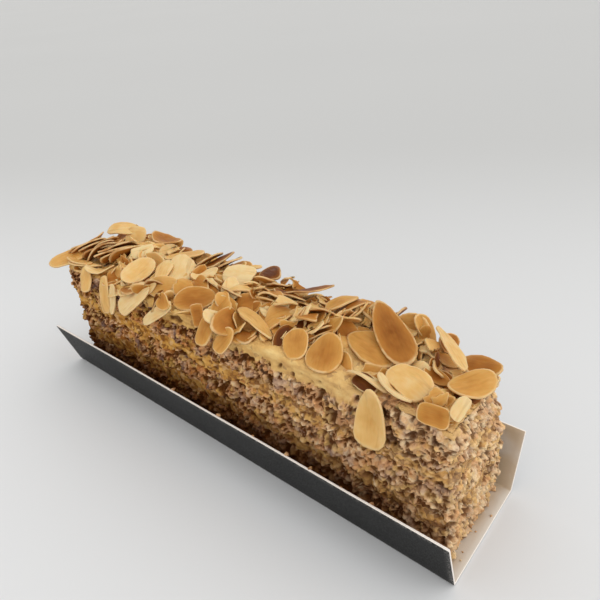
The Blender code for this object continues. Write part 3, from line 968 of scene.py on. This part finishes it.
def kept_in(x, y, length, width, heading):
    """The nearest place from which the flake reaches over no edge further than it may."""
    half_x = hypot(length * cos(heading), width * sin(heading)) / 2
    half_y = hypot(length * sin(heading), width * cos(heading)) / 2
    near = OVERHANG_NEAR - BARE_RIM * smooth(x, *BARE_STRETCH)
    x = clamp(x, LEFT_END - OVERHANG_LEFT + half_x, RIGHT_END - OVERHANG_RIGHT - half_x)
    return x, clamp(y, -HALF_WIDTH - near + half_y, HALF_WIDTH + OVERHANG_FAR - half_y)


# One round of strewing: lengths in mm, angles in degrees, the last three as shares.
# The last field browns the flakes of a round: some toasting, and painted shade for the first round, which
# lies lowest, in the gaps under the rest.
Spread = namedtuple("Spread", "rows lanes lengths stray steepest support broken browner")


def in_stack(x, y):
    """Whether a place lies among the leaning tiles at the left end."""
    return x < STACK_FROM + STACK_FLAKES * STACK_STEP and -11 * MM < y < 5 * MM


def combed(x, y):
    """Whether a place lies where the flakes stand edge up, alongside each other."""
    return -12 * MM < x < 34 * MM and y > -7 * MM


def scatter(rng, pile, flakes, spread):
    """Flakes at jittered places all over the top, each resting on those before it."""
    places = []
    for row in range(spread.rows):
        for lane in range(spread.lanes):
            along = (row + 0.5 + rng.uniform(-0.5, 0.5)) / spread.rows
            across = (lane + 0.5 + rng.uniform(-0.5, 0.5)) / spread.lanes
            places.append((LEFT_END + along * (RIGHT_END - LEFT_END), (2 * across - 1) * HALF_WIDTH))
    rng.shuffle(places)
    limit = radians(spread.steepest)
    for x, y in places:
        length = rng.uniform(*spread.lengths) * MM * (1 - 0.3 * smooth(x, *TOP_CRUMBLES))
        width = length * rng.uniform(*FLAKE_ASPECT)
        heading, extra_roll = rng.uniform(0, tau), 0.0
        if combed(x, y) and rng.random() < 0.7:
            heading, extra_roll = radians(rng.gauss(36, 20)), radians(-18)
        lie = pile.slope_under(x, y, length, width, heading)
        pitch = radians(rng.gauss(0, spread.stray)) + FOLLOW * lie[0]
        roll = radians(rng.gauss(0, spread.stray * 1.4)) + FOLLOW * lie[1] + extra_roll
        pitch, roll = clamp(pitch, -limit, limit), clamp(roll, -limit, limit)
        broken = rng.choice((1, 2, 3, 4)) if rng.random() < spread.broken else 0
        paler = 0.05 * (smooth(x, -56 * MM, -50 * MM) - smooth(x, -28 * MM, -22 * MM))
        toast, taper = toast_of(rng, spread.browner - paler), rng.uniform(0.14, 0.3)
        x, y = kept_in(x, y, length, width, heading)
        z = pile.settle(x, y, length, width, heading, pitch, roll, spread.support)
        if z is None or (in_stack(x, y) and spread.browner < 0.15):
            continue
        place = Matrix.Translation((x, y, z)) @ turned(heading, pitch, roll)
        flakes.add(rng, place, length, width, toast, 0.0, taper, broken)


def place_standout_flakes(rng, pile, flakes):
    for x, y, z, length, width, heading, pitch, roll, toast, square, taper in STANDOUT_FLAKES:
        x, y, z, length, width = (value * MM for value in (x, y, z, length, width))
        angles = [radians(angle) for angle in (heading, pitch, roll)]
        pile.reserve(x, y, z, length, width, *angles)
        place = Matrix.Translation((x, y, z)) @ turned(*angles)
        flakes.add(rng, place, length, width, toast, square, taper, warp=0.5)


def place_near_edge_flakes(rng, flakes):
    for x, z, length, width, spin, tilt, toast, square, taper in NEAR_EDGE_FLAKES:
        out = HALF_WIDTH + 1.6 * MM + (CREAM_TOP - z * MM) * 0.06
        lean = leaning(-pi / 2, radians(tilt), radians(spin))
        place = Matrix.Translation((x * MM, -out, z * MM)) @ lean
        flakes.add(rng, place, length * MM, width * MM, toast, square, taper, warp=0.5)


def place_hidden_edge_flakes(rng, flakes):
    """First those on the left end, then those on the far side."""
    for i in range(HIDDEN_EDGE_FLAKES):
        tilt, spin = radians(rng.uniform(35, 68)), rng.uniform(0, tau)
        length = rng.uniform(8, 13) * MM
        sunk = rng.uniform(2.0, 4.0) * MM
        if i < LEFT_EDGE_FLAKES:
            sunk += 1.5 * MM
            outward, middle = pi, (LEFT_END + 0.4 * MM, rng.uniform(-0.6, 0.8) * HALF_WIDTH)
        else:
            along = (i - LEFT_EDGE_FLAKES + 0.5) / (HIDDEN_EDGE_FLAKES - LEFT_EDGE_FLAKES)
            along += rng.uniform(-0.03, 0.03)
            middle_x = LEFT_END + along * (RIGHT_END - LEFT_END - 12 * MM)
            outward, middle = pi / 2, (middle_x, HALF_WIDTH + MM)
        z = height_at(CREAM_TOP, *middle) - sunk
        place = Matrix.Translation((*middle, z)) @ leaning(outward, tilt, spin)
        flakes.add(rng, place, length, length * rng.uniform(*FLAKE_ASPECT), toast_of(rng, 0), broken=i % 2)


def place_stack(rng, flakes):
    """The browner flakes at the left end, each leaning on the one before it."""
    for i in range(STACK_FLAKES):
        x, y = STACK_FROM + i * STACK_STEP, rng.uniform(-6.5, 1.0) * MM
        heading, roll = radians(rng.gauss(80, 6)), -radians(rng.uniform(39, 46))
        length = rng.uniform(11, 15) * MM
        z = (STACK_HEIGHT + rng.uniform(-0.3, 0.3)) * MM
        place = Matrix.Translation((x, y, z)) @ turned(heading, radians(rng.gauss(0, 4)), roll)
        toast = rng.uniform(0.5, 0.75)
        flakes.add(rng, place, length, length * 0.48, toast, broken=i % 3 == 1, warp=0.6)


def make_flakes():
    rng = random.Random(SEED)
    pile = Pile()
    whole, shards, bits = (Flakes("toast", "rim", "local") for _ in range(3))
    place_standout_flakes(rng, pile, whole)
    place_near_edge_flakes(rng, whole)
    place_hidden_edge_flakes(rng, whole)
    place_stack(rng, whole)
    # The first round lies lowest and is made browner, partly as painted shade.
    rounds = (
        (whole, Spread(26, 5, (8, 13), stray=12, steepest=32, support=0.8, broken=0.5, browner=0.2)),
        (shards, Spread(34, 6, (8, 13), stray=22, steepest=50, support=0.7, broken=0.8, browner=0.08)),
        (bits, Spread(42, 6, (7, 11.5), stray=26, steepest=60, support=0.66, broken=0.95, browner=0.0)),
        (bits, Spread(12, 2, (8, 12), stray=16, steepest=34, support=0.7, broken=0.4, browner=0.05)),
    )
    for flakes, spread in rounds:
        scatter(rng, pile, flakes, spread)
    material = almond_material()
    for name, flakes in (("almond_flakes", whole), ("almond_shards", shards), ("almond_bits", bits)):
        flakes.finish(name, "almonds", ["almond_topping"], [material])


# ---- crumbs

FLAP_TOP_Y = CARD_FLOOR_WIDTH / 2 + FLAP_WIDTH * sin(FLAP_LEAN)
FLAP_TOP_Z = FLAP_WIDTH * cos(FLAP_LEAN)
SIDE_CRUMBS = 260
FLAP_CRUMBS = (20, 31.5, 39, 48, -12, 7, 56)  # mm along the near flap
FLOOR_CRUMBS = 4
SIDE_CRUMB_SIZES, FLAP_CRUMB_SIZES, FLOOR_CRUMB_SIZES = (0.45, 0.95), (0.9, 1.7), (0.35, 0.9)  # mm


class Crumbs(Piece):
    """Loose crumbs gathered into one piece: small uneven lumps."""

    def __init__(self):
        super().__init__(*CUT_MARKS)
        ball = bmesh.new()
        bmesh.ops.create_icosphere(ball, subdivisions=1, radius=0.5)
        self.ball = [vert.co.copy() for vert in ball.verts]
        self.triangles = [tuple(vert.index for vert in face.verts) for face in ball.faces]
        ball.free()

    def add(self, rng, centre, size, pale):
        first = len(self.verts)
        seat = random_seat(rng)
        shape = Vector((rng.uniform(0.7, 1.3), rng.uniform(0.7, 1.3), rng.uniform(0.6, 1.0)))
        tone, creamy = rng.random(), float(rng.random() < 0.15)
        for point in self.ball:
            reach = 1 + 0.7 * noise(point * 2.2 + seat)
            self.point(Vector(centre) + point * shape * (size * reach), tone, 0.0, creamy, pale)
        self.faces += [tuple(first + i for i in triangle) for triangle in self.triangles]


def make_crumbs():
    rng = random.Random(SEED + 1)
    crumbs = Crumbs()
    ring = bar_outline(SIDE_STEP)
    for _ in range(SIDE_CRUMBS):
        x, y, nx, ny = rng.choice(ring)
        level = rng.uniform(STACK_FOOT + MM, STACK_TOP - MM)
        point, _, _, _, pale = bar_point(x, y, nx, ny, level)
        crumbs.add(rng, point, rng.uniform(*SIDE_CRUMB_SIZES) * MM, pale)
    for along in FLAP_CRUMBS:
        size = rng.uniform(*FLAP_CRUMB_SIZES) * MM
        centre = (along * MM, -FLAP_TOP_Y + 0.7 * size + 0.2 * MM, FLAP_TOP_Z - rng.uniform(0.0, 0.5) * MM)
        crumbs.add(rng, centre, size, 0.6)
    for _ in range(FLOOR_CRUMBS):
        size = rng.uniform(*FLOOR_CRUMB_SIZES) * MM
        x, y = rng.uniform(RIGHT_END + 0.6 * MM, 74.4 * MM), rng.uniform(-12.5, 12.5) * MM
        crumbs.add(rng, (x, y, CARD_THICKNESS + 0.3 * size), size, 0.9)
    crumbs.finish("cake_crumbs", "sponge", (), [cut_material("loose crumb", 0.75, 0.5)])


# ---- stage, light and camera

CAMERA_PLACE = Vector((103.058, -86.828, 119.973)) * MM
CAMERA_TARGET = Vector((-6.516, 32.719, 22.059)) * MM
CAMERA_ROLL = radians(-5.764)
CAMERA_LENS = 33.72
FLOOR_REACH = 12.0
SKY_COLOUR, SKY_STRENGTH = (1.0, 0.99, 0.97, 1), 0.87
LAMP_COLOUR = (1.0, 0.985, 0.96)
LAMPS = (  # name, strength, spread in degrees, where it shines from
    ("key", 0.45, 60, (0.5, 0.3, 0.8)),
    ("side", 0.6, 100, (0.9, 0.0, 0.5)),
)


def make_stage():
    corners = [(x * FLOOR_REACH, y * FLOOR_REACH, 0) for x, y in ((-1, -1), (1, -1), (1, 1), (-1, 1))]
    mesh = bpy.data.meshes.new("floor")
    mesh.from_pydata(corners, [], [(0, 1, 2, 3)])
    floor = new_object("floor", mesh)
    floor.location.z = -0.05 * MM
    make = Recipe("pale floor", 0.6, specular=0.3)
    cloud = make.noise(0.4, 1)
    tint = make.ramp(cloud, ((0.3, (0.72, 0.732, 0.748)), (0.7, (0.74, 0.752, 0.768))))
    # Painted shade: the floor darkens towards the back, away from the camera.
    links = ((0, make.place), (1, (-0.5, 0.87, 0)))
    painted_far_shade = make.add("ShaderNodeVectorMath", links, operation="DOT_PRODUCT")
    tint = make.mix(make.step(painted_far_shade.outputs["Value"], -0.04, 0.3, 0, 0.6), tint, (0.42, 0.42, 0.41))
    mesh.materials.append(make.finish(tint))


def make_light():
    world = bpy.context.scene.world or bpy.data.worlds.new("world")
    bpy.context.scene.world = world
    world.use_nodes = True
    background = world.node_tree.nodes["Background"]
    background.inputs["Color"].default_value = SKY_COLOUR
    background.inputs["Strength"].default_value = SKY_STRENGTH
    for name, energy, spread, direction in LAMPS:
        light = bpy.data.lights.new(name, "SUN")
        light.energy = energy
        light.angle = radians(spread)
        light.color = LAMP_COLOUR
        lamp = new_object(name, light)
        lamp.rotation_euler = Vector(direction).to_track_quat("Z", "Y").to_euler()
    bpy.context.scene.view_settings.view_transform = "Standard"


def make_camera():
    camera = bpy.data.cameras.new("camera")
    camera.lens = CAMERA_LENS
    camera.sensor_width = 36
    camera.clip_start = 0.01
    obj = new_object("camera", camera)
    aim = (CAMERA_TARGET - CAMERA_PLACE).to_track_quat("-Z", "Y").to_matrix().to_4x4()
    obj.matrix_world = Matrix.Translation(CAMERA_PLACE) @ aim @ Matrix.Rotation(CAMERA_ROLL, 4, "Z")
    bpy.context.scene.camera = obj


make_camera()
make_light()
make_stage()
make_card()
make_layers()
make_top_cream()
make_flakes()
make_crumbs()
